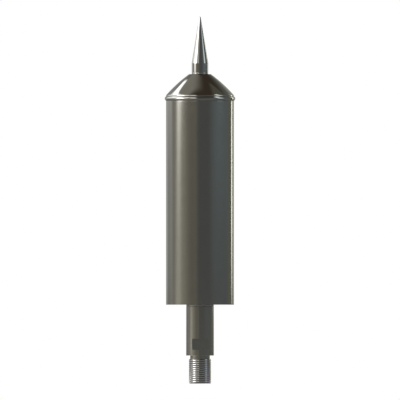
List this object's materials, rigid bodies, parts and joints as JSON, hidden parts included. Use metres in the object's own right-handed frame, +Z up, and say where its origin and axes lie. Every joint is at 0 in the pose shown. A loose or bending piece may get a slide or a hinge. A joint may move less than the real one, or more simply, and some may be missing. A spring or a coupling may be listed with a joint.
{
  "type": "lightning rod air terminal",
  "caption": "Stainless steel lightning air terminal: a conical spike on a domed cap over a cylindrical housing with a triggering unit inside, on a stem with a mast thread.",
  "frame": {"origin": "on the axis at the lower end of the mast thread", "axes": "+Z up along the axis to the spike's tip, -Y is the front, where a spanner flat shows"},
  "size_m": [0.0638, 0.0638, 0.332],
  "materials": {
    "satin_steel": "satin, ground round the axis",
    "polished_steel": "fine turned and polished",
    "plain_steel": "plain",
    "bush_plastic": "silver-grey pigmented, semi-gloss",
    "seal_rubber": "matt",
    "insulator_plastic": "moulded",
    "liner_plastic": "smooth",
    "board_laminate": "satin",
    "capacitor_can": "gloss",
    "resistor_lacquer": "gloss",
    "core_ferrite": "matt",
    "winding_copper": "enamelled wire",
    "plate_brass": "plain",
    "gap_ceramic": "glazed"
  },
  "bodies": {
    "root": {"mounting_stem": "satin_steel", "stem_seal": "seal_rubber", "stem_bush": "bush_plastic", "base_plug": "satin_steel", "base_seal": "seal_rubber", "base_insulating_washer": "insulator_plastic", "base_washer": "plain_steel", "base_spring_washer": "plain_steel", "base_nut": "plain_steel", "housing_tube": "satin_steel", "insulating_liner": "liner_plastic", "lower_insulator": "insulator_plastic", "tie_rods": "plain_steel", "tie_nuts": "plain_steel", "lower_spacers": "insulator_plastic", "charging_board": "board_laminate", "storage_capacitors": "capacitor_can", "middle_spacers": "insulator_plastic", "pulse_board": "board_laminate", "charging_resistors": "resistor_lacquer", "transformer_core": "core_ferrite", "transformer_winding": "winding_copper", "upper_spacers": "insulator_plastic", "earth_plate": "plate_brass", "lower_electrodes": "plate_brass", "spark_gap_tubes": "gap_ceramic", "upper_electrodes": "plate_brass", "collector_plate": "plate_brass", "rod_sleeve": "insulator_plastic", "contact_spring": "plate_brass", "central_rod": "plain_steel", "cap_seal": "seal_rubber", "top_cap": "polished_steel", "point_bush": "bush_plastic", "point_seal": "seal_rubber", "strike_point": "polished_steel"}
  },
  "joints": []
}
